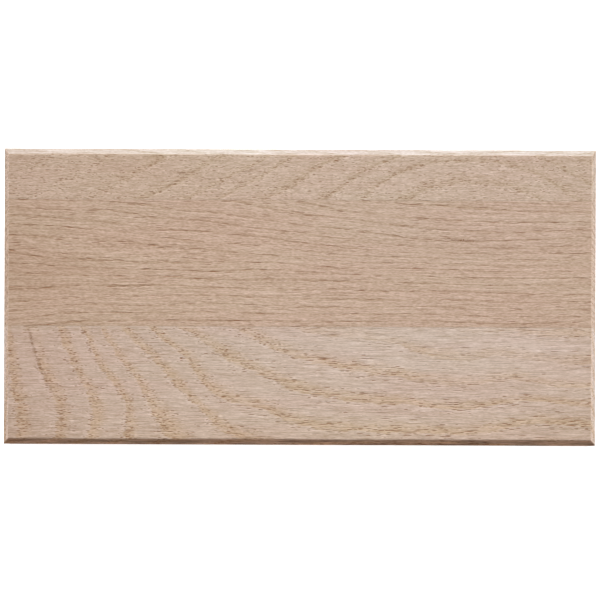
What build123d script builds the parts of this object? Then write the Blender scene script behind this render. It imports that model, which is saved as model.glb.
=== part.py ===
"""Edge-glued solid oak threshold strip: three full-length staves and the two adhesive
bond lines that hold them together, with a chamfer on all four upper edges.

Frame: origin at the centre of the underside, +X along the strip (and along the wood
fibres), +Y towards the rear long edge, +Z up out of the walking surface. Millimetres.
"""

import os

from build123d import *

# ---------------------------------------------------------------- driving dimensions
LENGTH = 300.0        # between the two end-grain faces, along X
WIDTH = 150.0         # across the strip, along Y
THICKNESS = 15.0      # underside to walking surface, along Z
CHAMFER = 3.0         # 45 degree chamfer round the walking surface
ARRIS = 0.4           # light 45 degree break on the outer lower edges
BOND = 0.1            # thickness of each adhesive bond line

REAR_JOINT = 26.0     # rear long edge to the middle of the rear bond line
FRONT_JOINT = 90.0    # rear long edge to the middle of the front bond line

TOLERANCE = 1e-6      # for matching edge positions

# ---------------------------------------------------------------- derived positions
HALF_LENGTH = LENGTH / 2
HALF_WIDTH = WIDTH / 2
HALF_BOND = BOND / 2
Y_REAR_JOINT = HALF_WIDTH - REAR_JOINT
Y_FRONT_JOINT = HALF_WIDTH - FRONT_JOINT

# Each piece runs the full length and thickness: name, front Y, rear Y.
PIECES = [
    # Narrow stave along the rear long edge, plain sawn.
    ("rear_stave", Y_REAR_JOINT + HALF_BOND, HALF_WIDTH),
    # Widest stave, between the two joints, rift sawn.
    ("middle_stave", Y_FRONT_JOINT + HALF_BOND, Y_REAR_JOINT - HALF_BOND),
    # Stave along the front long edge, plain sawn.
    ("front_stave", -HALF_WIDTH, Y_FRONT_JOINT - HALF_BOND),
    # Cured wood adhesive filling the joint between the rear and middle staves.
    ("rear_bond_line", Y_REAR_JOINT - HALF_BOND, Y_REAR_JOINT + HALF_BOND),
    # Cured wood adhesive filling the joint between the middle and front staves.
    ("front_bond_line", Y_FRONT_JOINT - HALF_BOND, Y_FRONT_JOINT + HALF_BOND),
]


def is_outer(edge):
    """True for an edge on an end or a long edge of the assembled strip."""
    centre = edge.center()
    at_end = abs(abs(centre.X) - HALF_LENGTH) < TOLERANCE
    at_long_edge = abs(abs(centre.Y) - HALF_WIDTH) < TOLERANCE
    return at_end or at_long_edge


def outer_edges(part, z):
    """Edges of a piece at height z that lie on the outside of the assembled strip.
    Edges along a glued joint are left out, so they stay square."""
    level_edges = part.edges().filter_by_position(Axis.Z, z - TOLERANCE, z + TOLERANCE)
    return [edge for edge in level_edges if is_outer(edge)]


def build_piece(name, y_front, y_rear):
    """One stave or bond line between two Y positions, with its outer edges finished."""
    with BuildPart() as piece:
        with BuildSketch(Plane.XY):
            with Locations((0, (y_front + y_rear) / 2)):
                Rectangle(LENGTH, y_rear - y_front)
        extrude(amount=THICKNESS)
        chamfer(outer_edges(piece.part, THICKNESS), length=CHAMFER)
        chamfer(outer_edges(piece.part, 0.0), length=ARRIS)
    piece.part.label = name
    return piece.part


# ---------------------------------------------------------------- one STEP per piece
os.makedirs("parts", exist_ok=True)

for name, y_front, y_rear in PIECES:
    export_step(build_piece(name, y_front, y_rear), f"parts/{name}.step")
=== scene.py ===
# A 300 x 150 x 15 mm oak board, glued up from three staves that run its whole length.
# Length lies along x, width along y and thickness along z, centred on x = y = 0 with the
# underside at z = 0. Front is -y, rear is +y, left is -x and right is +x. The top face is
# chamfered along all four outside edges. Lengths are millimetres; MM turns them to metres.
import math
from types import SimpleNamespace

import bpy
import numpy as np
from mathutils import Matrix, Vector


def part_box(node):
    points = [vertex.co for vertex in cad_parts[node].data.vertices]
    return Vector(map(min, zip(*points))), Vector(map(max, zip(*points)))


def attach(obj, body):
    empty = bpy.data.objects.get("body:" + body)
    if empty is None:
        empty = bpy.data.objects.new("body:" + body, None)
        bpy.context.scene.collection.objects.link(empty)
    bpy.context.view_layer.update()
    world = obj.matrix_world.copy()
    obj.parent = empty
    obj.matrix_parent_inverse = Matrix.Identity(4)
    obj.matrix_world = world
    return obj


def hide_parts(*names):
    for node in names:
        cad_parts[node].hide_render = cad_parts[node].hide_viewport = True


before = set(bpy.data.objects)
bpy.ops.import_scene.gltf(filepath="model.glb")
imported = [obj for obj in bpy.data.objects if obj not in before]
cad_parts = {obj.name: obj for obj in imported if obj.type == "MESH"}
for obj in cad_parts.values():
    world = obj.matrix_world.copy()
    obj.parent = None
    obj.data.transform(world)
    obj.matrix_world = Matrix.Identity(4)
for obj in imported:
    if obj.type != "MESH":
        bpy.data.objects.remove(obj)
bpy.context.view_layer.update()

MM = 0.001
LENGTH, WIDTH, THICK = 300.0, 150.0, 15.0
CHAMFER = 3.0
UNDER_ARRIS = 0.4  # bevel round the underside
END_ARRIS = LENGTH / 2 - CHAMFER  # distance from the centre to where a chamfer starts
SIDE_ARRIS = WIDTH / 2 - CHAMFER

# ---------------------------------------------------------------- growth rings
# Where the start of each year's earlywood crosses the top face: ring number, then points
# (x, y). A smooth surface through them gives the ring number anywhere on the face.
FRONT_RINGS = {
    0: [(-148, -20), (-146, -37.5), (-145, -48), (-142, -59), (-142, -70)],
    1: [(-138, -15.5), (-136, -22.5), (-132, -35), (-128, -42.5), (-124, -50), (-122, -60.5),
        (-123, -71.5)],
    2: [(-122, -15.5), (-119, -25), (-116, -31.5), (-112, -38.5), (-108, -46.5), (-105, -55),
        (-105, -65.5), (-107, -72)],
    3: [(-110, -15.5), (-106, -23), (-102, -33.5), (-95, -43), (-89, -50.5), (-87, -58.5),
        (-88, -65.5), (-89, -72)],
    4: [(-100, -16.5), (-95, -25), (-90, -32.5), (-84, -39.5), (-79, -48.5), (-74, -57.5),
        (-68, -69)],
    5: [(-90, -15.5), (-83, -23), (-76, -29.5), (-69, -37.5), (-59, -47.5), (-51, -55),
        (-38, -68)],
    6: [(-76, -15.5), (-67, -23), (-58, -30.5), (-52, -39.5), (-46, -47.5), (-33, -53),
        (-18, -57), (0, -65), (25, -67.5), (58, -68), (97, -67.5)],
    7: [(-61, -15.5), (-51, -20.5), (-36, -31.5), (-20, -39.5), (-6, -45.5), (15, -51),
        (41, -53.5), (69, -56), (89, -56), (107, -52.5), (124, -52), (147, -54)],
    8: [(-34, -15.5), (-23, -21), (-9, -28), (13, -34.5), (33, -38.5), (66, -42.5),
        (91, -43.5), (112, -41.5), (127, -44.5), (147, -45.5)],
    9: [(5, -17.5), (25, -20), (51, -24.5), (63, -29), (81, -31.5), (99, -29.5),
        (117, -31.5), (147, -32)],
}
MIDDLE_RINGS = {
    0: [(-122, -13.5), (-104, -12), (-74, -12), (2, -12), (79, -12), (150, -11.5)],
    1: [(-150, -12), (-135, -10.5), (-114, -8), (-84, -8), (-53, -7.5), (2, -8.5), (68, -8),
        (104, -9.5), (150, -9)],
    2: [(-150, -8), (-132, -6), (-117, -4), (-74, -4), (-51, -3), (-8, -4.5), (53, -4.5),
        (104, -5.5), (150, -5.5)],
    3: [(-150, -3), (-120, -1), (-74, 0.5), (2, -0.5), (53, -1), (104, -2), (150, -1.5)],
    4: [(-150, 4), (-120, 5), (-94, 5.5), (-53, 5.5), (-13, 4), (43, 3.5), (79, 3.5),
        (114, 2.5), (150, 2.5)],
    5: [(-150, 12.5), (-120, 11.5), (-74, 11), (-38, 9), (2, 9), (38, 8), (104, 6.5), (150, 7)],
    6: [(-150, 17), (-125, 16), (-99, 14.5), (-59, 13.5), (-23, 14), (2, 13), (40, 11.5),
        (79, 10.5), (114, 10), (150, 10.5)],
    7: [(-150, 23.5), (-140, 21.5), (-127, 19.5), (-104, 19), (-74, 17.5), (-48, 17),
        (2, 16.5), (53, 15), (94, 13.5), (150, 14)],
    8: [(-150, 31.5), (-120, 30.5), (-87, 28), (-51, 25), (-31, 22.5), (2, 20), (38, 17.5),
        (79, 17), (150, 16.5)],
    9: [(-150, 36.5), (-120, 35.5), (-92, 32.5), (-74, 30.5), (-48, 28), (2, 24), (53, 20.5),
        (89, 19.5), (150, 19.5)],
    10: [(-150, 41), (-120, 39.5), (-99, 38), (-74, 34.5), (-48, 33), (-28, 31.5), (2, 27.5),
         (53, 23), (104, 22.5), (150, 23)],
    11: [(-150, 45.5), (-120, 44), (-94, 43.5), (-74, 40.5), (-51, 39), (-28, 35.5),
         (2, 32.5), (33, 28.5), (79, 25.5), (150, 27)],
    12: [(-150, 49.5), (-120, 48.5), (-79, 47), (-56, 43.5), (-28, 40.5), (2, 36.5),
         (25, 34.5), (53, 30.5), (81, 28.5), (114, 29.5), (150, 30.5)],
    13: [(-28, 48), (2, 42.5), (23, 40), (58, 36), (84, 34), (150, 35)],
    14: [(-3, 49), (25, 43.5), (53, 41), (81, 39), (150, 38.5)],
    15: [(46, 49), (63, 47), (89, 45.5), (150, 43.5)],
}
REAR_RINGS = {
    0: [(60, 53), (71, 57.5), (85, 59), (101, 57.5), (117, 52.5)],
    1: [(37, 55.5), (51, 64), (67, 68.5), (85, 69.5), (109, 66.5), (124, 60.5), (135, 53)],
    2: [(13, 50.5), (23, 57.5), (32, 64), (46, 70), (126, 69), (139, 62), (150, 56)],
    3: [(-17, 50.5), (0, 59.5), (15, 69), (141, 70), (150, 66.5)],
    4: [(-39, 51), (-26, 58), (-10, 68)],
    5: [(-57, 50), (-44, 56), (-31, 63), (-17, 70)],
    6: [(-80, 50), (-66, 55.5), (-56, 61.5), (-45, 69)],
    7: [(-107, 50), (-93, 56.5), (-79, 65), (-70, 70.5)],
    8: [(-135, 50), (-120, 57.5), (-105, 66), (-97, 70.5)],
    9: [(-150, 56.5), (-139, 63), (-126, 70.5)],
}
RING_LEAD = 0.15  # share of a year already passed where a ring's points lie


class RingSurface:
    """Thin-plate surface through the ring points, with its slope along x."""

    def __init__(self, rings, scale, smooth, lead=RING_LEAD):
        self.scale = scale
        self.points = np.array([p for row in rings.values() for p in row], float) / scale
        years = np.array([year + lead for year in rings for _ in rings[year]], float)
        count = len(self.points)
        apart = np.linalg.norm(self.points[:, None] - self.points[None], axis=2)
        kernel = np.where(apart > 0, apart * apart * np.log(apart + 1e-12), 0)
        plane = np.c_[np.ones(count), self.points]
        system = np.zeros((count + 3, count + 3))
        system[:count, :count] = kernel + smooth * np.eye(count)
        system[:count, count:] = plane
        system[count:, :count] = plane.T
        self.weights = np.linalg.solve(system, np.r_[years, 0, 0, 0])

    def at(self, x, y):
        """Ring number and its change per mm along x."""
        u, v = x / self.scale[0], y / self.scale[1]
        base, along_u, along_v = self.weights[-3:]
        ring = base + along_u * u + along_v * v
        slope = np.full_like(u, along_u)
        for (point_u, point_v), weight in zip(self.points, self.weights):
            off = u - point_u
            square = off * off + (v - point_v) ** 2 + 1e-12
            log = np.log(square)
            ring += 0.5 * weight * square * log
            slope += weight * off * (log + 1)
        return ring, slope / self.scale[0]


FRONT_YEARS = RingSurface(FRONT_RINGS, scale=(30.0, 30.0), smooth=0.02, lead=0.05)
MIDDLE_YEARS = RingSurface(MIDDLE_RINGS, scale=(60.0, 15.0), smooth=0.01)
REAR_YEARS = RingSurface(REAR_RINGS, scale=(30.0, 20.0), smooth=0.02)


# ---------------------------------------------------------------- worn edges
def smooth_noise(seed, along, pitch):
    """Repeatable 1-D value noise in -1..1, with the given pitch in mm."""
    table = np.random.default_rng(seed).uniform(-1, 1, 4096)
    position = along / pitch + 2048.0
    cell = np.floor(position).astype(int)
    blend = position - cell
    blend = blend * blend * (3 - 2 * blend)
    return table[cell % 4096] * (1 - blend) + table[(cell + 1) % 4096] * blend


# Knocks on the face arris of each edge: (position along it, depth, half length).
KNOCKS = {
    "front": [(-129.5, 0.55, 1.4), (-38.0, 0.25, 1.1), (61.0, 0.22, 2.0), (118.0, 0.2, 0.9)],
    "rear": [(-88.0, 0.25, 1.6), (12.0, 0.18, 2.4), (96.0, 0.22, 1.2)],
    "left": [(-52.0, 0.3, 0.8), (21.0, 0.22, 1.0)],
    "right": [(33.0, 0.25, 0.9), (-27.0, 0.2, 1.2)],
}


def knock_depth(edge, along):
    total = np.zeros_like(along)
    for centre, depth, half in KNOCKS[edge]:
        total += depth * np.exp(-(((along - centre) / half) ** 2))
    return total


def beyond_arris(x, y, outer):
    """How far each point lies beyond the face arris, and the radius the arris is worn to.

    outer is +1 or -1 when the rear or front long side of the piece is an outside edge, else 0.
    """
    left, rear = x < 0, y > 0
    end = np.abs(x) - END_ARRIS + np.where(
        left,
        0.10 + 0.06 * smooth_noise(11, y, 9.0),
        0.05 + 0.05 * smooth_noise(12, y, 14.0),
    )
    side = np.abs(y) - SIDE_ARRIS + np.where(
        rear,
        0.16 + 0.06 * smooth_noise(13, x, 17.0) + 0.22 * np.exp(-(((x + 138) / 22.0) ** 2)),
        0.32 + 0.07 * smooth_noise(14, x, 21.0),
    )
    end_radius = 0.14 + 0.04 * smooth_noise(15, y + 300 * left, 2.3)
    end_radius = end_radius + knock_depth("left", y) * left + knock_depth("right", y) * ~left
    side_radius = 0.12 + 0.04 * smooth_noise(16, x + 400 * rear, 2.9)
    side_radius = side_radius + knock_depth("rear", x) * rear + knock_depth("front", x) * ~rear
    side = np.where(outer * y > 0, side, -50.0)
    return np.maximum(end, side), np.where(side > end, side_radius, end_radius)


# ---------------------------------------------------------------- one closed skin per piece
# Stations across a chamfer, from the face arris outwards.
FLARE = [-0.9, -0.5, -0.17, 0.0, 0.17, 0.5, 1.0, 1.5, 2.0, 2.5, 2.85, 3.0]
JOINT_WEAR = 0.22  # width of the rounding beside a glue joint
JOINT_STATIONS = [0.0, 0.08, JOINT_WEAR]
JOINT_WALL_STEP = 5.0
UNDER_STEP_X = 2.5
CHAMFER_FOOT_SOFTENING = 0.05
OUTSIDE_CORNER_BREAK, JOINT_CORNER_BREAK = 0.10, 0.02

# Regions of a skin; the sides are walked anticlockwise.
TOP, UNDER, FRONT, REAR, RIGHT, LEFT = range(6)
SIDES = (FRONT, RIGHT, REAR, LEFT)
SIDE_SIGNS = (1, 1, -1, -1)  # whether x or y grows or falls along each side


def spaced(start, stop, step):
    count = max(1, int(round((stop - start) / step)))
    return list(np.linspace(start, stop, count + 1))


class Skin:
    """Vertices and faces of one closed, outward facing piece between two y values.

    outer is as in beyond_arris; sink is how far the top lies below the face.
    """

    def __init__(self, y_front, y_rear, outer, sink):
        self.y_front, self.y_rear = y_front, y_rear
        self.outer, self.sink = outer, sink
        self.points, self.relief = [], []
        self.faces, self.regions = [], []
        self.count = 0

    def add(self, points, relief):
        """Adds points; relief is how much of the carving each one takes."""
        points = np.asarray(points, float).reshape(-1, 3)
        self.points.append(points)
        self.relief.append(np.broadcast_to(np.ravel(relief).astype(float), len(points)))
        self.count += len(points)
        return np.arange(self.count - len(points), self.count)

    def add_faces(self, corners, region):
        self.faces += np.stack(corners, 1).tolist()
        self.regions += [region] * len(corners[0])

    def zip_rows(self, upper, upper_at, lower, lower_at, region):
        """Strip between two rows of vertices that start and end at the same place."""
        if len(upper) == len(lower):
            self.add_faces([upper[:-1], lower[:-1], lower[1:], upper[1:]], region)
            return
        i = j = 0
        while i < len(upper) - 1 or j < len(lower) - 1:
            next_upper = upper_at[i + 1] if i < len(upper) - 1 else 1e9
            next_lower = lower_at[j + 1] if j < len(lower) - 1 else 1e9
            if next_upper <= next_lower:
                self.faces.append([int(upper[i]), int(lower[j]), int(upper[i + 1])])
                i += 1
            else:
                self.faces.append([int(upper[i]), int(lower[j]), int(lower[j + 1])])
                j += 1
            self.regions.append(region)

    def face_height(self, x, y):
        """Height of the worn top face and its chamfers."""
        beyond, radius = beyond_arris(x, y, self.outer)
        rounded = (beyond + radius) ** 2 / (4 * radius)
        fall = np.where(beyond >= radius, beyond, rounded)
        height = THICK - np.where(beyond <= -radius, 0.0, fall)
        for joint, is_joint in ((self.y_front, self.outer != -1), (self.y_rear, self.outer != 1)):
            if is_joint:
                near = np.clip(1 - np.abs(y - joint) / JOINT_WEAR, 0, 1)
                height = height - near**2 * (0.014 + 0.012 * smooth_noise(21, x, 6.0))
        return height

    def wall_height(self, x, y, down):
        """Height on a wall; down runs from 0 at the top to 1 at the underside bevel."""
        top = self.face_height(np.asarray(x, float), np.asarray(y, float)) - self.sink
        return top * (1 - down) + UNDER_ARRIS * down


def add_top(skin, xs, ys):
    """Adds the top face with its chamfers and returns its grid of vertices."""
    x, y = np.meshgrid(xs, ys, indexing="ij")
    z = skin.face_height(x, y) - skin.sink * (1 + 0.5 * smooth_noise(31, x, 3.0))
    points = np.stack([x, y, z], 2)
    # The foot of each chamfer is drawn in a little.
    points[0, :, 0] += CHAMFER_FOOT_SOFTENING
    points[-1, :, 0] -= CHAMFER_FOOT_SOFTENING
    if skin.outer == 1:
        points[:, -1, 1] -= CHAMFER_FOOT_SOFTENING
    if skin.outer == -1:
        points[:, 0, 1] += CHAMFER_FOOT_SOFTENING
    grid = skin.add(points, 1.0).reshape(len(xs), len(ys))
    a, b, c, d = grid[:-1, :-1], grid[1:, :-1], grid[1:, 1:], grid[:-1, 1:]
    twice_x = (xs[:-1] + xs[1:])[:, None]
    twice_y = (ys[:-1] + ys[1:])[None, :]
    at_end = np.abs(twice_x / 2) > END_ARRIS - 1
    corner = at_end & (skin.outer * twice_y / 2 > SIDE_ARRIS - 1)
    skin.add_faces([k[~corner] for k in (a, b, c, d)], TOP)
    # Where two chamfers meet, triangles follow the mitre.
    rising = (twice_x * twice_y > 0) & corner
    falling = corner & ~rising
    for mask, triangles in ((rising, ((a, b, c), (a, c, d))), (falling, ((a, b, d), (b, c, d)))):
        for triangle in triangles:
            skin.add_faces([k[mask] for k in triangle], TOP)
    return grid


def add_corners(skin, down):
    """The four upright corners at one wall level, lightly broken."""
    corners = []
    for side_x, y in ((-1, skin.y_front), (1, skin.y_front), (1, skin.y_rear), (-1, skin.y_rear)):
        x = side_x * LENGTH / 2
        outside = skin.outer == (-1 if y == skin.y_front else 1)
        corner_x = x - side_x * (OUTSIDE_CORNER_BREAK if outside else JOINT_CORNER_BREAK)
        corner_y = y - math.copysign(OUTSIDE_CORNER_BREAK, y) if outside else y
        z = skin.wall_height([x], [y], down)[0]
        corners.append(skin.add([[corner_x, corner_y, z]], 0.0)[0])
    return corners


def add_walls(skin, grid, xs, ys, step_z):
    """Adds the four sides and returns their lowest row of vertices and its stations."""
    joint_x = np.array([xs[0]] + spaced(xs[1], xs[-2], JOINT_WALL_STEP) + [xs[-1]])
    is_joint = [skin.outer != -1, False, skin.outer != 1, False]
    stations = [
        joint_x if is_joint[0] else xs,
        ys,
        (joint_x if is_joint[2] else xs)[::-1],
        ys[::-1],
    ]
    row = [grid[:, 0], grid[-1, :], grid[::-1, -1], grid[0, ::-1]]
    row_stations = [xs, ys, xs[::-1], ys[::-1]]
    tall = THICK - CHAMFER - 0.1
    levels = [0.15 / tall] + spaced(0.5 / tall, 1 - 0.3 / tall, step_z / tall) + [1.0]
    for down in levels:
        corners = add_corners(skin, down)
        below = []
        for k in range(4):
            middle = stations[k][1:-1]
            if k in (0, 2):
                x, y = middle, np.full_like(middle, skin.y_rear if k else skin.y_front)
            else:
                x, y = np.full_like(middle, LENGTH / 2 if k == 1 else -LENGTH / 2), middle
            points = np.stack([x, y, skin.wall_height(x, y, down)], 1)
            body = skin.add(points, 0.0 if is_joint[k] else 0.9)
            below.append(np.r_[corners[k], body, corners[(k + 1) % 4]])
        for k, sign in enumerate(SIDE_SIGNS):
            skin.zip_rows(row[k], sign * row_stations[k], below[k], sign * stations[k], SIDES[k])
        row, row_stations = below, stations
    return row, row_stations


def add_underside(skin, wall_row, wall_stations, step_y):
    front = skin.y_front + (UNDER_ARRIS if skin.outer == -1 else 0)
    rear = skin.y_rear - (UNDER_ARRIS if skin.outer == 1 else 0)
    half = LENGTH / 2 - UNDER_ARRIS
    xs, ys = np.array(spaced(-half, half, UNDER_STEP_X)), np.array(spaced(front, rear, step_y))
    x, y = np.meshgrid(xs, ys, indexing="ij")
    relief = np.full(x.shape, 0.6)
    relief[:, [0, -1]] = 0.0
    relief[[0, -1], :] = 0.0
    grid = skin.add(np.stack([x, y, np.zeros_like(x)], 2), relief).reshape(x.shape)
    corners = (grid[:-1, :-1], grid[:-1, 1:], grid[1:, 1:], grid[1:, :-1])
    skin.add_faces([k.ravel() for k in corners], UNDER)
    rows = [grid[:, 0], grid[-1, :], grid[::-1, -1], grid[0, ::-1]]
    stations = [xs, ys, xs[::-1], ys[::-1]]
    for k, sign in enumerate(SIDE_SIGNS):
        wall, under = sign * wall_stations[k], sign * stations[k]
        # Stretch the shorter row so that both start and end together.
        under = (under - under[0]) / (under[-1] - under[0]) * (wall[-1] - wall[0]) + wall[0]
        skin.zip_rows(wall_row[k], wall, rows[k], under, SIDES[k])


def build_skin(y_front, y_rear, outer, step_x, step_z, step_y=None, ys=None, under_y=1.0, sink=0.0):
    """Skin of one piece. Stations across it are spaced by step_y unless given as ys."""
    xs = [-(END_ARRIS + d) for d in reversed(FLARE)]
    xs += spaced(-END_ARRIS - FLARE[0], END_ARRIS + FLARE[0], step_x)[1:-1]
    xs += [END_ARRIS + d for d in FLARE]
    if ys is None:
        low = [y_front + d for d in JOINT_STATIONS]
        high = [y_rear - d for d in reversed(JOINT_STATIONS)]
        if outer == -1:
            low = [-(SIDE_ARRIS + d) for d in reversed(FLARE)]
        if outer == 1:
            high = [SIDE_ARRIS + d for d in FLARE]
        ys = low + spaced(low[-1], high[0], step_y)[1:-1] + high
    xs, ys = np.array(xs), np.array(ys)
    skin = Skin(y_front, y_rear, outer, sink)
    grid = add_top(skin, xs, ys)
    wall_row, wall_stations = add_walls(skin, grid, xs, ys, step_z)
    add_underside(skin, wall_row, wall_stations, under_y)
    return skin


def add_attribute(mesh, name, values):
    kind, key = ("FLOAT_VECTOR", "vector") if values.ndim == 2 else ("FLOAT", "value")
    data = mesh.attributes.new(name, kind, "POINT").data
    data.foreach_set(key, np.asarray(values, np.float32).ravel())


def lay_out_map(mesh, skin, points):
    """UV map: top, underside and long sides above each other, the two ends in a column."""
    margin, height = 0.006, 0.985
    loops = np.empty(len(mesh.loops), np.int32)
    mesh.loops.foreach_get("vertex_index", loops)
    totals = np.empty(len(mesh.polygons), np.int32)
    mesh.polygons.foreach_get("loop_total", totals)
    region = np.repeat(np.array(skin.regions), totals)
    place = points[loops]
    span = skin.y_rear - skin.y_front
    gap = 1.5 if span > 1 else 0.6
    scale = height / (2 * span + 2 * THICK + 4 * gap)
    face_pitch = span * scale + gap * scale
    starts = np.cumsum([margin, face_pitch, face_pitch, THICK * scale + gap * scale])
    across = (place[:, 1] - skin.y_front) * scale
    tall = place[:, 2] * scale
    is_end = region >= RIGHT
    u = 0.004 + (place[:, 0] / LENGTH + 0.5) * 0.925
    u = np.where(is_end, 0.94 + place[:, 2] / THICK * 0.054, u)
    v = starts[np.minimum(region, REAR)] + np.where(region <= UNDER, across, tall)
    v = np.where(is_end, margin + (region == LEFT) * (0.5 * height) + across, v)
    layer = mesh.uv_layers.new(name="OFBake")
    layer.data.foreach_set("uv", np.stack([u, v], 1).astype(np.float32).ravel())


def skin_to_object(name, skin, grain):
    points = np.concatenate(skin.points)
    mesh = bpy.data.meshes.new(name)
    mesh.from_pydata((points * MM).tolist(), [], skin.faces)
    mesh.update()
    lay_out_map(mesh, skin, points)
    # What the wood looks like is fixed by where it was in the log.
    x, y, z = points[:, 0], points[:, 1], points[:, 2]
    for key, values in zip(("ring", "slope", "rest"), grain(x, y, z)):
        add_attribute(mesh, key, values)
    add_attribute(mesh, "place", points)
    beyond, _ = beyond_arris(x, y, skin.outer)
    on_wall = np.where(z < THICK - CHAMFER - 0.5, 3.0, 0.0)
    add_attribute(mesh, "beyond", np.clip(beyond, -30, 5) + on_wall)
    normals = np.zeros(len(points) * 3)
    mesh.vertices.foreach_get("normal", normals)
    relief = np.concatenate(skin.relief)
    add_attribute(mesh, "inward", -normals.reshape(-1, 3) * relief[:, None])
    mesh.shade_smooth()
    ob = bpy.data.objects.new(name, mesh)
    bpy.context.scene.collection.objects.link(ob)
    return ob


# ---------------------------------------------------------------- grain of each piece
# Each gives the ring number, its slope along x, and the place along, round and out of the log.
def tilt(y, z, angle):
    cosine, sine = math.cos(angle), math.sin(angle)
    return y * cosine + z * sine, -y * sine + z * cosine


def ring_dive(x, y, z, rate, per_y, centre_y, swing, frequency, phase=0.0):
    """Rings gained from the top face down to z, at a rate per mm that drifts with x and y."""
    depth = THICK - z
    return (rate + per_y * (y - centre_y) + swing * np.sin(x * frequency + phase)) * depth


def front_grain(x, y, z):
    ring, slope = FRONT_YEARS.at(x, y)
    ring = ring + ring_dive(x, y, z, rate=0.31, per_y=0.0030, centre_y=-45, swing=0.03,
                            frequency=0.021)
    tangent, radius = tilt(y + 0.9 * np.sin(x / 58.0 + 0.4), z, 0.2)
    return ring, slope, np.stack([x, tangent, radius], 1)


# y at which each ring of the middle stave lies on average, from ring -1 upwards.
MIDDLE_RING_Y = [
    -15.5, -12, -8.5, -4.5, -0.5, 4, 9, 13, 16.5, 20, 24, 27.5, 32.5, 36.5, 42.5, 48, 54, 60,
]
ring_to_y = np.polynomial.Polynomial.fit(
    np.array([k - 1 + RING_LEAD for k in range(len(MIDDLE_RING_Y))]), np.array(MIDDLE_RING_Y), 5
)


def middle_grain(x, y, z):
    face_ring, slope = MIDDLE_YEARS.at(x, y)
    ring = face_ring + ring_dive(x, y, z, rate=0.27, per_y=0.0012, centre_y=17, swing=0.012,
                                 frequency=0.017, phase=1.0)
    tangent, radius = tilt(0.5 * ring_to_y(face_ring) + 0.5 * y, z, math.radians(45))
    return ring, slope, np.stack([x, tangent, radius], 1)


def rear_grain(x, y, z):
    ring, slope = REAR_YEARS.at(x, y)
    ring = ring + ring_dive(x, y, z, rate=-0.30, per_y=-0.004, centre_y=62, swing=-0.03,
                            frequency=0.019, phase=2.0)
    tangent, radius = tilt(y + 0.6 * np.sin(x / 47.0 + 1.9), z, -0.2)
    return ring, slope, np.stack([x, tangent, radius], 1)


def bond_grain(x, y, z):
    return x * 0.0, x * 0.0, np.stack([x, y, z], 1)


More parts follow.
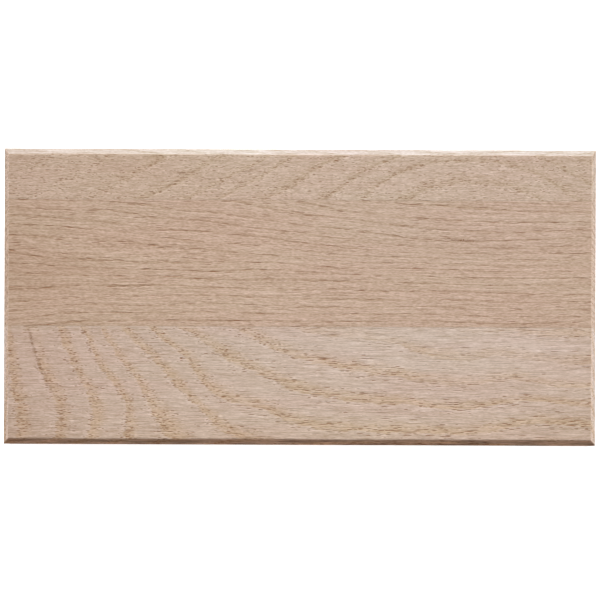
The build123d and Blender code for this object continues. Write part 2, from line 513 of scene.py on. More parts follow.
# ---------------------------------------------------------------- node building
class Net:
    """Short names for the nodes that shader trees and geometry trees share."""

    def __init__(self, tree):
        self.tree = tree

    def new(self, kind, **props):
        node = self.tree.nodes.new(kind)
        for key, value in props.items():
            setattr(node, key, value)
        return node

    def put(self, socket, value):
        if isinstance(value, bpy.types.NodeSocket):
            self.tree.links.new(value, socket)
        elif value is not None:
            socket.default_value = value

    def filled(self, node, values):
        for socket, value in zip(node.inputs, values):
            self.put(socket, value)
        return node.outputs[0]

    def math(self, operation, a, b=None, c=None):
        return self.filled(self.new("ShaderNodeMath", operation=operation), (a, b, c))

    def add(self, a, b):
        return self.math("ADD", a, b)

    def sub(self, a, b):
        return self.math("SUBTRACT", a, b)

    def mul(self, a, b):
        return self.math("MULTIPLY", a, b)

    def div(self, a, b):
        return self.math("DIVIDE", a, b)

    def abs(self, a):
        return self.math("ABSOLUTE", a)

    def madd(self, a, b, c):
        """a * b + c"""
        return self.math("MULTIPLY_ADD", a, b, c)

    def sway(self, field, amount, base):
        """base, moved either way by a field that runs from 0 to 1."""
        return self.madd(self.sub(field, 0.5), amount, base)

    def weigh(self, total, *terms):
        """total plus each (field, weight)."""
        for field, weight in terms:
            total = self.madd(field, weight, total)
        return total

    def comb(self, x, y, z):
        return self.filled(self.new("ShaderNodeCombineXYZ"), (x, y, z))

    def sep(self, vector):
        node = self.new("ShaderNodeSeparateXYZ")
        self.put(node.inputs[0], vector)
        return tuple(node.outputs)

    def vec(self, operation, a, b=None):
        node = self.new("ShaderNodeVectorMath", operation=operation)
        self.put(node.inputs[0], a)
        self.put(node.inputs[1], b)
        return node.outputs["Value"] if operation == "LENGTH" else node.outputs[0]

    def stretched(self, axes, size, shift):
        return self.comb(*[self.madd(a, 1.0 / s, o) for a, s, o in zip(axes, size, shift)])

    def noise(self, axes, size, shift, detail, rough=0.5):
        """3-D noise whose blotches have the given size in mm along each axis."""
        node = self.new("ShaderNodeTexNoise", noise_dimensions="3D")
        self.put(node.inputs["Vector"], self.stretched(axes, size, shift))
        node.inputs["Scale"].default_value = 1.0
        node.inputs["Detail"].default_value = detail
        node.inputs["Roughness"].default_value = rough
        return node.outputs[0]

    def cells(self, axes, size, shift):
        """Random cells: three random values of the cell, and the offset from its point."""
        node = self.new("ShaderNodeTexVoronoi", voronoi_dimensions="3D", feature="F1")
        vector = self.stretched(axes, size, shift)
        self.put(node.inputs["Vector"], vector)
        node.inputs["Scale"].default_value = 1.0
        node.inputs["Randomness"].default_value = 1.0
        offset = self.vec("SUBTRACT", vector, node.outputs["Position"])
        return self.sep(node.outputs["Color"]), self.sep(offset)

    def white(self, value):
        node = self.new("ShaderNodeTexWhiteNoise", noise_dimensions="1D")
        self.put(node.inputs["W"], value)
        return node.outputs["Value"]

    def ramp(self, value, start, stop, low=0.0, high=1.0, smooth=True):
        """low at start, high at stop."""
        kind = "SMOOTHSTEP" if smooth else "LINEAR"
        node = self.new("ShaderNodeMapRange", interpolation_type=kind, clamp=True)
        return self.filled(node, (value, start, stop, low, high))

    def mix(self, factor, a, b, blend="MIX"):
        node = self.new("ShaderNodeMix", data_type="RGBA", blend_type=blend, clamp_factor=True)
        self.put(node.inputs[0], factor)
        self.put(node.inputs[6], a)
        self.put(node.inputs[7], b)
        return node.outputs[2]

    def tint(self, colour, by):
        return self.mix(1.0, colour, by, "MULTIPLY")

    def attribute(self, name, output="Fac"):
        node = self.new("ShaderNodeAttribute", attribute_name=name, attribute_type="GEOMETRY")
        return node.outputs[output]

    def blob(self, place, spot, turn=0.0):
        """1 at the middle of a soft ellipsoid on the top face, 0 outside it.

        spot is x, y and the three half sizes; turn is in degrees, seen from above.
        """
        centre_x, centre_y, half_x, half_y, half_z = spot
        centre = self.comb(centre_x, centre_y, THICK)
        x, y, z = self.sep(self.vec("SUBTRACT", place, centre))
        if turn:
            cosine, sine = math.cos(math.radians(turn)), math.sin(math.radians(turn))
            x, y = (
                self.madd(y, sine, self.mul(x, cosine)),
                self.madd(y, cosine, self.mul(x, -sine)),
            )
        scaled = self.comb(self.mul(x, 1 / half_x), self.mul(y, 1 / half_y), self.mul(z, 1 / half_z))
        return self.ramp(self.vec("LENGTH", scaled), 1.0, 0.2)


# ---------------------------------------------------------------- fields of the wood
def wood_fields(net, ring, slope, rest, oak):
    """Everything that is cut by the surface: year rings, vessels, rays and fibres."""
    x, tangent, radius = net.sep(rest)
    seed = oak.seed
    wave = net.noise((x, tangent, radius), (24, 8, 8), (seed, 1.3, 2.1), detail=1.0)
    fibre = (x, net.sway(wave, oak.wave, tangent), radius)
    # Noises: size along, round and out of the log in mm; shift round and out; detail.
    noise_table = {
        "wander": ((oak.wander_length, 4.5, 4.5), (5.7, 0.4), 2.0),
        "edge": ((5.0, 0.9, 0.9), (3.3, 7.7), 2.0),
        "band_gaps": ((13.0, 2.2, 2.2), (8.8, 2.7), 1.0),
        "seam_gaps": ((22.0, 1.6, 1.6), (2.8, 9.7), 1.0),
        "streak": ((oak.streak_length, oak.streak_width, oak.streak_width), (0.0, 0.0), 1.0),
        "line": ((oak.line_length, 0.56, 0.56), (12.0, 6.0), 0.0),
        "felt": ((1.7, 0.42, 0.42), (4.0, 8.0), 0.0),
        "mouths": ((1.0, 0.80, 0.70), (14.0, 3.0), 1.0),
        "drift": ((70.0, 9.0, 14.0), (6.0, 1.0), 2.0),
    }
    fields = SimpleNamespace()
    for name, (size, shift, detail) in noise_table.items():
        setattr(fields, name, net.noise(fibre, size, (seed, *shift), detail))
    ring = net.sway(fields.wander, oak.wander, ring)
    run_out = net.ramp(net.abs(slope), 0.008, 0.045, *oak.run_out_length)

    def vessels(cell, half, offset, share, jitter):
        """Whether the nearest cell holds a vessel, and the distance from it (1 at its wall)."""
        (year_chance, chance, size_chance), (off_x, off_y, off_z) = net.cells(
            fibre, cell, (seed + offset, offset, offset)
        )
        size = net.madd(size_chance, 0.9, 0.5)
        distance = net.vec("LENGTH", net.comb(
            net.div(net.mul(off_x, cell[0] / half[0]), net.mul(size, run_out)),
            net.div(net.mul(off_y, cell[1] / half[1]), net.madd(size, 0.5, 0.5)),
            net.div(net.mul(off_z, cell[2] / half[1]), net.madd(size, 0.5, 0.5)),
        ))
        centre_ring = net.sub(ring, net.mul(net.mul(slope, off_x), cell[0]))
        phase = net.math("FRACT", net.sway(year_chance, jitter, centre_ring))
        return net.math("LESS_THAN", chance, share(phase)), distance

    def hollow(present, distance):
        return net.mul(present, net.ramp(distance, 1.05, 0.55))

    def early_share(phase):
        start, stop = oak.early - oak.early_soft, oak.early + oak.early_soft
        return net.ramp(phase, start, stop, oak.dense, oak.sparse)

    def late_share(phase):
        return net.ramp(phase, 0.0, 1.0, *oak.fine_share)

    def early_vessels(cell, half, offset):
        """Hollows of the large vessels, and the painted highlight round their rim."""
        present, distance = vessels(cell, half, offset, early_share, oak.jitter)
        ring_shape = net.mul(net.ramp(distance, 1.0, 1.7), net.ramp(distance, 3.2, 1.9))
        return hollow(present, distance), net.mul(present, ring_shape)

    first = early_vessels(oak.big_cell, oak.big_half, 0.0)
    second = early_vessels([0.83 * c for c in oak.big_cell], [0.86 * c for c in oak.big_half], 31.7)
    if oak.long_cell:
        # Where a ring lies nearly along the fibres its vessels show as long strokes.
        lengthwise = net.ramp(net.abs(slope), 0.012, 0.034, 1.0, 0.0)
        crosswise = net.sub(1.0, lengthwise)
        strokes = early_vessels(oak.long_cell, oak.long_half, 83.3)
        second = [
            net.math("MAXIMUM", net.mul(short, crosswise), net.mul(long, lengthwise))
            for short, long in zip(second, strokes)
        ]
    fields.pores = net.math("MAXIMUM", first[0], second[0])
    fields.rims = net.math("MAXIMUM", first[1], second[1])
    fields.fine = hollow(*vessels(oak.fine_cell, oak.fine_half, 57.1, late_share, 0.5))

    # Rays, cut as thin spindles.
    cell, (half_length, half_width) = oak.ray_cell, oak.ray_half
    (width_chance, chance, length_chance), (off_x, off_y, _) = net.cells(
        fibre, cell, (seed + 3.1, 9.2, 4.4)
    )
    reach = net.madd(length_chance, half_length, half_length * 0.5)
    thick = net.madd(width_chance, half_width, half_width * 0.6)
    distance = net.add(
        net.div(net.mul(net.abs(off_x), cell[0]), reach),
        net.div(net.mul(net.abs(off_y), cell[1]), thick),
    )
    present = net.math("LESS_THAN", chance, oak.ray_share)
    fields.rays = net.mul(present, net.ramp(distance, 1.0, 0.35))

    # Earlywood band, latewood, and the dark seam between years, on rings with frayed edges.
    frayed = net.sway(fields.edge, oak.fray, ring)
    phase = net.math("FRACT", frayed)
    band = net.mul(net.ramp(phase, 0.0, 0.08), net.ramp(phase, *oak.band_fall, 1.0, 0.0))
    fields.band = net.mul(band, net.ramp(fields.band_gaps, 0.30, 0.62, oak.band_floor, 1.0))
    fields.late = net.ramp(phase, 0.55, 1.0)
    start, stop = oak.seam
    seam = net.mul(
        net.ramp(phase, start - 0.06, start), net.ramp(phase, stop, stop + 0.12, 1.0, 0.0)
    )
    fields.seam = net.mul(seam, net.ramp(fields.seam_gaps, 0.32, 0.52, oak.seam_floor, 1.0))
    fields.year = net.white(net.add(net.math("FLOOR", frayed), seed))
    return fields


def carve(ob, oak):
    """Cuts the relief of vessels and earlywood into the mesh itself."""
    tree = bpy.data.node_groups.new("carve_" + ob.name, "GeometryNodeTree")
    for direction in ("INPUT", "OUTPUT"):
        tree.interface.new_socket(
            "Geometry", in_out=direction, socket_type="NodeSocketGeometry"
        )
    net = Net(tree)
    group_in, group_out = net.new("NodeGroupInput"), net.new("NodeGroupOutput")

    def named(name, kind="FLOAT"):
        node = net.new("GeometryNodeInputNamedAttribute", data_type=kind)
        node.inputs["Name"].default_value = name
        return node.outputs["Attribute"]

    rest = named("rest", "FLOAT_VECTOR")
    fields = wood_fields(net, named("ring"), named("slope"), rest, oak)
    depth = net.weigh(
        net.mul(fields.pores, oak.pore_depth),
        (fields.fine, 0.03),
        (fields.band, oak.band_depth),
        (fields.streak, 0.03),
    )
    depth = net.math("MAXIMUM", depth, 0.0)
    move = net.new("ShaderNodeVectorMath", operation="SCALE")
    net.put(move.inputs[0], named("inward", "FLOAT_VECTOR"))
    net.put(move.inputs["Scale"], net.mul(depth, MM))
    place = net.new("GeometryNodeSetPosition")
    net.put(place.inputs["Geometry"], group_in.outputs[0])
    net.put(place.inputs["Offset"], move.outputs[0])
    net.put(group_out.inputs[0], place.outputs[0])
    ob.modifiers.new("carve", "NODES").node_group = tree
    graph = bpy.context.evaluated_depsgraph_get()
    mesh = bpy.data.meshes.new_from_object(
        ob.evaluated_get(graph), preserve_all_data_layers=True, depsgraph=graph
    )
    ob.modifiers.clear()
    plain = ob.data
    ob.data = mesh
    mesh.name = plain.name + "_carved"
    bpy.data.meshes.remove(plain)
    bpy.data.node_groups.remove(tree)


# ---------------------------------------------------------------- materials
CRACK_DEPTH = 3  # half depth of a stained mark
MOUTH_CONTRAST = 4.9  # speckle of open vessels on the left end; the right has less


def srgb(*levels):
    """Linear RGBA from sRGB levels of 0 to 255."""
    shares = [level / 255 for level in levels]
    linear = [c / 12.92 if c <= 0.04045 else ((c + 0.055) / 1.055) ** 2.4 for c in shares]
    return (*linear, 1.0)


def new_material(name):
    mat = bpy.data.materials.new(name)
    mat.use_nodes = True
    mat.node_tree.nodes.clear()
    return mat, Net(mat.node_tree)


def finish_surface(net, colour, rough, height, bump_strength, specular, ior=None):
    bump = net.new("ShaderNodeBump")
    bump.inputs["Strength"].default_value = bump_strength
    bump.inputs["Distance"].default_value = MM
    net.put(bump.inputs["Height"], height)
    shader = net.new("ShaderNodeBsdfPrincipled")
    net.put(shader.inputs["Base Color"], colour)
    net.put(shader.inputs["Roughness"], rough)
    net.put(shader.inputs["Normal"], bump.outputs[0])
    net.put(shader.inputs["IOR"], ior)
    shader.inputs["Specular IOR Level"].default_value = specular
    out = net.new("ShaderNodeOutputMaterial")
    net.put(out.inputs["Surface"], shader.outputs[0])


def surface_fields(net):
    """Where a point of the surface is and which way it faces."""
    here = SimpleNamespace(place=net.attribute("place", "Vector"))
    here.axes = net.sep(here.place)
    here.beyond = net.attribute("beyond")
    normal_x, here.normal_y, _ = net.sep(net.new("ShaderNodeNewGeometry").outputs["Normal"])
    here.on_wall = net.ramp(net.abs(here.normal_y), 0.80, 0.95)
    here.rear_chamfer = net.mul(net.ramp(here.normal_y, 0.35, 0.6), net.sub(1.0, here.on_wall))
    here.endwise = net.abs(normal_x)
    here.ends = net.ramp(here.endwise, 0.35, 0.95)
    here.sawn_end = net.ramp(here.endwise, 0.80, 0.95)
    # Fibres are long streaks on the faces, and only a faint grain where cut across.
    here.quiet = net.madd(here.ends, -0.72, 1.0)
    return here


def soften_fields(net, fields, here, oak):
    """Vessels hardly show on the rear chamfer, nor in the calm and faint zones."""
    for key in ("pores", "fine", "rims"):
        keep = net.madd(here.rear_chamfer, -0.5, 1.0)
        setattr(fields, key, net.mul(getattr(fields, key), keep))
    zones = ((oak.calm, ("pores", "band", "rims", "seam")), (oak.faint, ("band", "seam")))
    for spots, keys in zones:
        for *spot, share in spots:
            keep = net.madd(net.blob(here.place, spot), -share, 1.0)
            for key in keys:
                setattr(fields, key, net.mul(getattr(fields, key), keep))


def wood_tone(net, fields, here, oak):
    """Brightness of the wood, around 1."""
    tone = net.mul(net.sub(fields.streak, 0.5), oak.streak_tone)
    tone = net.sway(fields.line, oak.line_tone, tone)
    tone = net.sway(fields.felt, oak.felt_tone, tone)
    tone = net.madd(tone, here.quiet, 1.0)
    tone = net.sway(fields.year, oak.year_tone, tone)
    tone = net.sway(fields.drift, oak.drift_tone, tone)
    # The rim round each vessel is lightened as a painted highlight, where light would catch the lip
    # of a pore.
    tone = net.weigh(
        tone,
        (fields.rims, oak.rim_tone),
        (fields.seam, -oak.seam_dark),
        (net.mul(net.sub(fields.line, 0.5), here.rear_chamfer), 0.5),
    )
    for start, stop, gain in oak.shade_x:
        tone = net.mul(tone, net.ramp(here.axes[0], start, stop, gain, 1.0))
    for *spot, gain in oak.patches:
        tone = net.mul(tone, net.madd(net.blob(here.place, spot), gain, 1.0))
    return tone


def long_grain(net, fields, here, oak):
    """Colour of wood cut along the fibres."""
    colour = net.mix(net.mul(fields.band, oak.band_tint), srgb(*oak.light), srgb(*oak.tan))
    colour = net.mix(net.mul(fields.late, oak.late_tint), colour, srgb(*oak.late_tone))
    # Slow drift between a pinker and a yellower tone along the stave.
    pinker = net.tint(colour, (1.010, 0.991, 0.992, 1))
    yellower = net.tint(colour, (0.990, 1.003, 0.984, 1))
    colour = net.mix(net.ramp(fields.drift, 0.3, 0.7), pinker, yellower)
    for *spot, tint in oak.tints:
        colour = net.mix(net.blob(here.place, spot), colour, net.tint(colour, (*tint, 1.0)))
    # Darker wood is redder as well as darker.
    tone = wood_tone(net, fields, here, oak)
    powers = [net.math("POWER", tone, power) for power in (0.86, 1.1, 1.42)]
    colour = net.tint(colour, net.comb(*powers))
    pore = srgb(*oak.pore)
    colour = net.mix(net.mul(fields.fine, oak.fine_dark), colour, pore)
    colour = net.mix(net.mul(fields.rays, oak.ray_dark), colour, srgb(*oak.ray))
    colour = net.mix(net.mul(fields.pores, oak.pore_dark), colour, pore)
    # Short cracks and stained pores, with ragged edges.
    shift = net.comb(net.madd(fields.felt, 2.6, -1.3), net.madd(fields.mouths, 1.6, -0.8), 0.0)
    ragged = net.vec("ADD", here.place, shift)
    gaps = net.ramp(fields.streak, 0.36, 0.56, 1.15, 0.45)
    for *spot, strength, turn in oak.marks:
        stain = net.mul(net.blob(ragged, (*spot, CRACK_DEPTH), turn), gaps)
        colour = net.mix(net.mul(stain, strength), colour, srgb(130, 88, 52))
    return colour


def end_grain(net, colour, fields, here, oak):
    """Deeper colour on the ends, ringed, with pale rays running across the rings."""
    deep = net.tint(colour, oak.end_tint)
    ringed = net.madd(here.sawn_end, 0.5, net.mul(here.ends, 0.5))
    deep = net.mix(net.mul(net.mul(fields.band, ringed), 0.55), deep, srgb(150, 116, 88))
    deep = net.mix(net.mul(net.mul(fields.seam, ringed), 0.5), deep, srgb(128, 94, 68))
    pale_rays = net.mul(fields.rays, net.madd(here.sawn_end, 0.25, 0.5))
    deep = net.mix(pale_rays, deep, srgb(214, 190, 165))
    contrast = net.mul(
        net.ramp(here.sawn_end, 0.0, 1.0, 1.0, 0.32),
        net.ramp(here.axes[0], -10.0, 10.0, MOUTH_CONTRAST, 0.4 * MOUTH_CONTRAST),
    )
    dots = net.math("MAXIMUM", net.sway(fields.mouths, contrast, 1.0), 0.62)
    dots = net.math("MINIMUM", dots, 1.27)
    deep = net.tint(deep, net.comb(dots, dots, dots))
    return net.mix(here.ends, colour, deep)


def chamfer_colour(net, colour, here, oak):
    """The rear chamfer is cooler as a painted sheen and the rear wall darker as painted shade, the
    front chamfer darker as painted shade with streaks of grime, the inner half of each end chamfer
    paler as a painted highlight.
    """
    # Painted sheen: the rear chamfer is tinted cooler, as under a pale highlight; painted shade: the
    # rear wall is tinted darker.
    rear_sheen_and_wall_shade = net.mix(here.on_wall, (0.863, 0.987, 1.142, 1), (0.75, 0.80, 0.85, 1))
    colour = net.mix(net.ramp(here.normal_y, 0.35, 0.6), colour, net.tint(colour, rear_sheen_and_wall_shade))
    # Painted shade with streaks of grime: the chamfer facing the front, and a little of the front
    # wall, is tinted darker and redder, broken up by a streaky noise.
    grime = net.noise(here.axes, (24.0, 2.0, 2.0), (oak.seed, 7.0, 4.0), detail=4.0, rough=0.65)
    grime = net.ramp(grime, 0.3, 0.7, 0.45, 1.62, smooth=False)
    shade_and_grime = net.tint(net.tint(colour, (0.948, 0.83, 0.77, 1)), net.comb(grime, grime, grime))
    facing_front = net.ramp(here.normal_y, -0.35, -0.6)
    colour = net.mix(net.mul(facing_front, net.madd(here.on_wall, -0.85, 1.0)), colour, shade_and_grime)
    # Painted highlight: the inner half of each end chamfer is paler than the outer half.
    end_chamfer = net.mul(net.ramp(here.endwise, 0.3, 0.6), net.sub(1.0, here.sawn_end))
    inner = net.ramp(here.beyond, 0.8, 2.0, 1.0, 0.0)
    paler = net.tint(colour, (1.16, 1.14, 1.11, 1))
    return net.mix(net.mul(net.mul(end_chamfer, inner), 0.5), colour, paler)


def rubbed_arris(net, here, oak):
    """1 where the face arris is rubbed, in patches along it."""
    near = net.mul(net.ramp(here.beyond, -0.45, 0.0), net.ramp(here.beyond, 0.1, 0.6, 1.0, 0.0))
    patches = net.noise(here.axes, (3.0, 3.0, 3.0), (oak.seed, 2.0, 5.0), detail=2.0)
    return net.mul(near, net.ramp(patches, 0.35, 0.7))


def wood_material(name, oak):
    mat, net = new_material(name)
    rest = net.attribute("rest", "Vector")
    fields = wood_fields(net, net.attribute("ring"), net.attribute("slope"), rest, oak)
    here = surface_fields(net)
    soften_fields(net, fields, here, oak)
    colour = long_grain(net, fields, here, oak)
    colour = end_grain(net, colour, fields, here, oak)
    colour = chamfer_colour(net, colour, here, oak)
    rub = rubbed_arris(net, here, oak)
    colour = net.mix(net.mul(rub, 0.2), colour, srgb(222, 203, 184))
    height = net.weigh(
        net.mul(fields.pores, -0.08),
        (fields.fine, -0.05),
        (fields.rays, -0.02),
        (net.mul(fields.streak, here.quiet), 0.07),
        (net.mul(fields.felt, here.quiet), 0.05),
    )
    rough = net.weigh(
        0.73,
        (fields.streak, 0.12),
        (fields.pores, 0.16),
        (fields.band, 0.05),
        (here.ends, 0.06),
        (rub, -0.10),
    )
    rough = net.math("MINIMUM", rough, 0.97)
    finish_surface(net, colour, rough, height, bump_strength=0.6, specular=0.3, ior=1.45)
    return mat


def glue_material():
    mat, net = new_material("wood_adhesive")
    axes = net.sep(net.attribute("place", "Vector"))
    slow = net.noise(axes, (14.0, 2.0, 6.0), (3.0, 1.0, 2.0), detail=2.0)
    quick = net.noise(axes, (1.1, 0.3, 0.8), (7.0, 4.0, 2.0), detail=3.0, rough=0.6)
    colour = net.mix(net.ramp(slow, 0.3, 0.7), srgb(182, 153, 128), srgb(198, 171, 147))
    colour = net.mix(net.ramp(quick, 0.5, 0.8, 0.0, 0.5), colour, srgb(136, 104, 78))
    rough = net.madd(quick, 0.3, 0.42)
    finish_surface(net, colour, rough, net.mul(quick, 0.06), bump_strength=0.6, specular=0.4)
    return mat


# ---------------------------------------------------------------- the three kinds of oak
# Rings: wave is mm of sideways drift; wander, fray and jitter are in years; early is the share
# of a year that is earlywood. dense and sparse are the shares of cells with a large vessel in
# early and late wood, fine_share that of small ones at the start and end of a year.
# run_out_length scales vessels where rings run along the fibres and where they cross them.
# Cells are mm along, round and out of the log; halves are half length and half width.
# band_fall and seam are phases of the year; the floors are what is left in their gaps.
# Names in _tone are swings of brightness, except late_tone, which like light, tan, pore and
# ray is an sRGB colour; names in _tint (bar end_tint) and _dark are strengths.
# shade_x: from x, to x, gain at the first. Spots are x, y, three half sizes, then: patches a
# gain, tints a colour, calm and faint the share removed. Marks are x, y, two half sizes,
# strength, turn in degrees.
SHARED_OAK = dict(
    long_cell=None, ray_share=0.4, pore_depth=0.10, band_depth=0.008,
    late_tint=0.2, year_tone=0.03, ray_dark=0.4, end_tint=(0.823, 0.90, 1.01, 1),
    faint=[], calm=[],
)


def oak_settings(**own):
    return SimpleNamespace(**{**SHARED_OAK, **own})


FRONT_OAK = oak_settings(
    seed=11.0, wave=0.4, wander=0.30, wander_length=16.0, fray=0.30, jitter=0.32,
    early=0.30, early_soft=0.12, dense=0.92, sparse=0.05, fine_share=(0.5, 0.2),
    run_out_length=(1.35, 0.85),
    big_cell=(2.7, 0.62, 0.62), big_half=(1.15, 0.175),
    long_cell=(6.5, 0.60, 0.60), long_half=(2.1, 0.15),
    fine_cell=(2.8, 0.42, 0.42), fine_half=(1.1, 0.115),
    ray_cell=(22.0, 1.15, 8.0), ray_half=(9.0, 0.16), ray_share=0.7,
    band_fall=(0.18, 0.55), band_floor=0.65, seam=(0.0, 0.08), seam_floor=0.3, seam_dark=0.03,
    pore_depth=0.12, band_depth=0.01,
    light=(211.6, 186, 168.6), tan=(199.6, 166.6, 134.4), late_tone=(208, 181, 162.6),
    pore=(138, 88, 46), ray=(150, 120, 98),
    band_tint=0.68, late_tint=0.3, fine_dark=0.34, ray_dark=0.6, pore_dark=0.96,
    year_tone=0.02, streak_tone=0.68, line_tone=0.28, felt_tone=0.31, rim_tone=0.15,
    drift_tone=0.05, streak_length=6.5, streak_width=0.42, line_length=26.0,
    end_tint=(0.855, 0.938, 1.055, 1),
    shade_x=[(-150, 10, 0.91), (-150, -128, 0.96), (150, 118, 0.97)],
    patches=[
        (75, -17, 150, 28, 60, 0.05), (150, -66, 60, 22, 40, -0.06),
        (-148, -68, 40, 20, 40, -0.07), (38, -42, 50, 20, 40, 0.02),
        (20, -74, 260, 20, 60, -0.03),
    ],
    tints=[
        (-150, -50, 95, 70, 60, (1.006, 0.985, 1.004)),
        (20, -76, 230, 28, 60, (1.006, 1.0, 0.974)),
        (50, -20, 170, 24, 60, (0.990, 1.0, 1.012)),
    ],
    calm=[
        (60, -17, 110, 13, 30, 0.65), (105, -32, 70, 9, 30, 0.6),
        (100, -43, 70, 7, 30, 0.4), (-135, -25, 7, 16, 30, 0.8),
    ],
    marks=[
        (-134.9, -23.0, 11.0, 0.95, 0.60, -74), (-131.2, -34.5, 12.0, 1.1, 0.50, -70),
        (-125.0, -47.0, 9.0, 0.9, 0.35, -62),
    ],
)
MIDDLE_OAK = oak_settings(
    seed=23.0, wave=0.35, wander=0.24, wander_length=30.0, fray=0.22, jitter=0.14,
    early=0.16, early_soft=0.09, dense=0.95, sparse=0.07, fine_share=(0.6, 0.3),
    run_out_length=(1.1, 1.05),
    big_cell=(5.2, 0.54, 0.54), big_half=(2.8, 0.128),
    fine_cell=(3.4, 0.42, 0.42), fine_half=(1.5, 0.115),
    ray_cell=(18.0, 1.9, 5.0), ray_half=(6.0, 0.15),
    band_fall=(0.06, 0.34), band_floor=0.35, seam=(0.03, 0.12), seam_floor=0.3, seam_dark=0.16,
    light=(206.4, 176.5, 155.2), tan=(189, 157.4, 128.4), late_tone=(202.4, 172.5, 150.4),
    pore=(138, 88, 50), ray=(160, 126, 102),
    band_tint=0.42, fine_dark=0.32, pore_dark=0.92,
    streak_tone=0.56, line_tone=0.38, felt_tone=0.48, rim_tone=0.14,
    drift_tone=0.06, streak_length=6.0, streak_width=0.44, line_length=34.0,
    shade_x=[(-150, -110, 0.935), (-150, 10, 0.935), (150, 125, 0.975)],
    patches=[
        (-125, 30, 50, 14, 40, -0.02), (-130, 14, 60, 20, 40, -0.045),
        (0, -15, 400, 4, 60, -0.06),
    ],
    tints=[
        (-70, 10, 110, 50, 60, (1.004, 1.0, 0.990)), (90, 36, 120, 26, 60, (0.991, 1.0, 1.008)),
    ],
    marks=[(84, 28.8, 11.0, 0.72, 0.85, 0), (75, 29.6, 6.0, 0.55, 0.7, 0)],
)
REAR_OAK = oak_settings(
    seed=37.0, wave=0.4, wander=0.24, wander_length=14.0, fray=0.20, jitter=0.20,
    early=0.26, early_soft=0.12, dense=0.80, sparse=0.20, fine_share=(0.6, 0.35),
    run_out_length=(1.1, 0.9),
    big_cell=(2.6, 0.62, 0.62), big_half=(1.05, 0.165),
    fine_cell=(2.0, 0.42, 0.42), fine_half=(0.8, 0.115),
    ray_cell=(20.0, 1.7, 9.0), ray_half=(6.0, 0.14),
    band_fall=(0.10, 0.55), band_floor=0.8, seam=(0.12, 0.14), seam_floor=0.85, seam_dark=0.105,
    light=(206.8, 180.2, 160), tan=(192.3, 165, 136.7), late_tone=(203.8, 176.5, 155.6),
    pore=(142, 96, 58), ray=(158, 127, 104),
    band_tint=0.48, fine_dark=0.30, pore_dark=0.88,
    streak_tone=0.68, line_tone=0.18, felt_tone=0.43, rim_tone=0.15,
    drift_tone=0.07, streak_length=5.5, streak_width=0.42, line_length=16.0,
    shade_x=[(-150, -120, 0.955), (-150, -10, 0.955), (150, 110, 0.98)],
    patches=[
        (-136, 70, 22, 5, 30, -0.05), (-70, 62, 90, 30, 40, -0.02),
        (-105, 62, 75, 40, 40, -0.026), (5, 62, 75, 40, 40, 0.02),
    ],
    tints=[
        (-60, 62, 120, 40, 60, (1.006, 0.996, 0.988)),
        (-105, 62, 75, 40, 60, (1.002, 0.997, 0.992)),
        (-150, 62, 40, 40, 60, (1.0, 0.988, 1.0)),
    ],
    faint=[(-125, 60, 58, 40, 40, 0.75)],
    marks=[
        (-59.7, 62.3, 3.4, 0.95, 0.9, 0), (-64.5, 61.9, 2.2, 0.6, 0.5, 0),
        (-62.4, 58.5, 22, 1.2, 0.22, 30), (-27.2, 62.9, 22, 1.3, 0.20, 26),
        (-28.0, 57.6, 16, 1.1, 0.16, 29), (28.4, 60.8, 26, 1.2, 0.15, 30),
        (45.0, 61.0, 22, 1.1, 0.10, 27), (134.7, 62.7, 20, 1.3, 0.20, -30),
    ],
)


# ---------------------------------------------------------------- the pieces
def span_of(node):
    low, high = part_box(node)
    return low.y / MM, high.y / MM


def hand_over(ob, node):
    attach(ob, "root")
    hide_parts(node)


def make_stave(where, outer, grain, oak, **steps):
    node, slot = f"{where}_stave", f"oak_{where}"
    skin = build_skin(*span_of(node), outer, **steps)
    ob = skin_to_object(f"{where}_oak_stave", skin, grain)
    carve(ob, oak)
    ob.data.materials.clear()
    ob.data.materials.append(wood_material(slot, oak))
    hand_over(ob, node)


def make_glue_line(where, glue):
    node = f"{where}_bond_line"
    front, rear = span_of(node)
    ys = [front] + [front + share * (rear - front) for share in (0.25, 0.5, 0.75)] + [rear]
    skin = build_skin(front, rear, 0, step_x=1.5, step_z=2.5, ys=ys, under_y=0.05, sink=0.02)
    ob = skin_to_object(f"{where}_glue_line", skin, bond_grain)
    ob.data.materials.append(glue)
    hand_over(ob, node)


glue = glue_material()
make_stave("rear", 1, rear_grain, REAR_OAK, step_x=1.0, step_y=0.2, step_z=0.5)
make_stave("middle", 0, middle_grain, MIDDLE_OAK, step_x=1.25, step_y=0.26, step_z=0.55)
make_stave("front", -1, front_grain, FRONT_OAK, step_x=1.25, step_y=0.26, step_z=0.55)
make_glue_line("rear", glue)
make_glue_line("front", glue)

# ---------------------------------------------------------------- floor, light and camera
scene = bpy.context.scene


def make_floor(half=4, z=-0.0003):
    """White to the camera, warmer in the light it throws back. Sizes in metres."""
    mesh = bpy.data.meshes.new("floor")
    corners = [(-half, -half, z), (half, -half, z), (half, half, z), (-half, half, z)]
    mesh.from_pydata(corners, [], [(0, 1, 2, 3)])
    floor = bpy.data.objects.new("floor", mesh)
    scene.collection.objects.link(floor)
    mat = bpy.data.materials.new("floor_white")
    mat.use_nodes = True
    net = Net(mat.node_tree)
    sockets = mat.node_tree.nodes["Principled BSDF"].inputs
    sockets["Roughness"].default_value = 0.9
    sockets["Specular IOR Level"].default_value = 0.1
    seen = net.new("ShaderNodeLightPath").outputs["Is Camera Ray"]
    net.put(sockets["Base Color"], net.mix(seen, (0.85, 0.78, 0.70, 1), (0.86, 0.86, 0.86, 1)))
    net.put(sockets["Emission Color"], net.mix(seen, (1.0, 0.89, 0.78, 1), (1, 1, 1, 1)))
    net.put(sockets["Emission Strength"], net.ramp(seen, 0.0, 1.0, 0.40, 0.85, smooth=False))
    mesh.materials.append(mat)


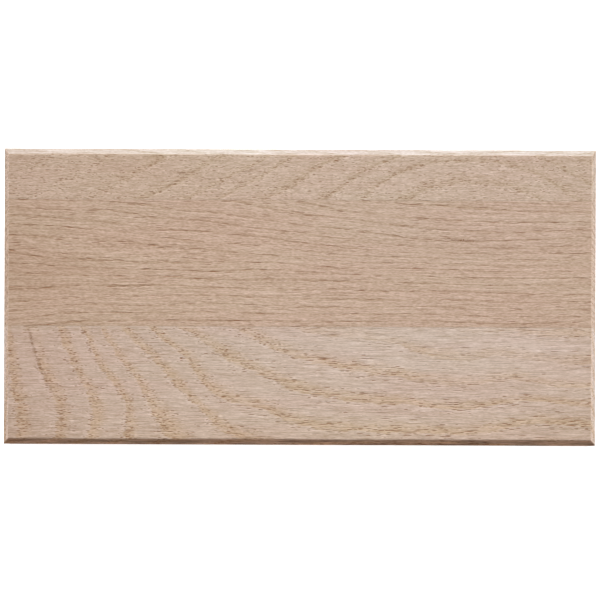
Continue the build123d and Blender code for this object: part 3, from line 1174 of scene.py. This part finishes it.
def make_world():
    """White to the camera, a dim warm glow to the board."""
    world = bpy.data.worlds.new("studio")
    scene.world = world
    world.use_nodes = True
    world.node_tree.nodes.clear()
    net = Net(world.node_tree)
    seen = net.new("ShaderNodeLightPath").outputs["Is Camera Ray"]
    back = net.new("ShaderNodeBackground")
    net.put(back.inputs["Color"], net.mix(seen, (1.0, 0.70, 0.45, 1), (1, 1, 1, 1)))
    net.put(back.inputs["Strength"], net.ramp(seen, 0.0, 1.0, 0.07, 1.0, smooth=False))
    net.put(net.new("ShaderNodeOutputWorld").inputs["Surface"], back.outputs[0])


def sun(name, azimuth, elevation, strength, size, colour):
    """A distant soft light. Azimuth 0 comes from the right, 90 from the rear."""
    data = bpy.data.lights.new(name, "SUN")
    data.energy = strength * math.pi
    data.angle = math.radians(size)
    data.color = colour
    ob = bpy.data.objects.new(name, data)
    turn, rise = math.radians(azimuth), math.radians(elevation)
    flat = math.cos(rise)
    to_light = Vector((math.cos(turn) * flat, math.sin(turn) * flat, math.sin(rise)))
    ob.rotation_mode = "QUATERNION"
    ob.rotation_quaternion = to_light.to_track_quat("Z", "Y")
    scene.collection.objects.link(ob)


def make_camera(lens=62.0, sensor=36.0, view_width=304.2):
    """Looks straight down; view_width is what it sees at the foot of the chamfers."""
    data = bpy.data.cameras.new("camera")
    data.type = "PERSP"
    data.sensor_width = sensor
    data.lens = lens
    data.clip_start, data.clip_end = 0.01, 20.0
    distance = view_width / 2 / (sensor / 2 / lens) * MM
    camera = bpy.data.objects.new("camera", data)
    camera.location = (0.07 * MM, -1.42 * MM, (THICK - CHAMFER) * MM + distance)
    camera.rotation_euler = (0.0, 0.0, math.radians(0.228))
    scene.collection.objects.link(camera)
    scene.camera = camera


make_floor()
make_world()
COOL = (0.95, 1.0, 1.04)
sun("key", azimuth=90, elevation=32, strength=1.28, size=12, colour=(0.947, 1.0, 1.028))
sun("right_fill", azimuth=0, elevation=10, strength=0.63, size=20, colour=COOL)
sun("left_fill", azimuth=180, elevation=10, strength=0.49, size=20, colour=COOL)
scene.view_settings.view_transform = "Standard"
scene.view_settings.look = "None"
scene.view_settings.exposure = 0.0
scene.view_settings.gamma = 1.0
make_camera()

bpy.context.view_layer.update()
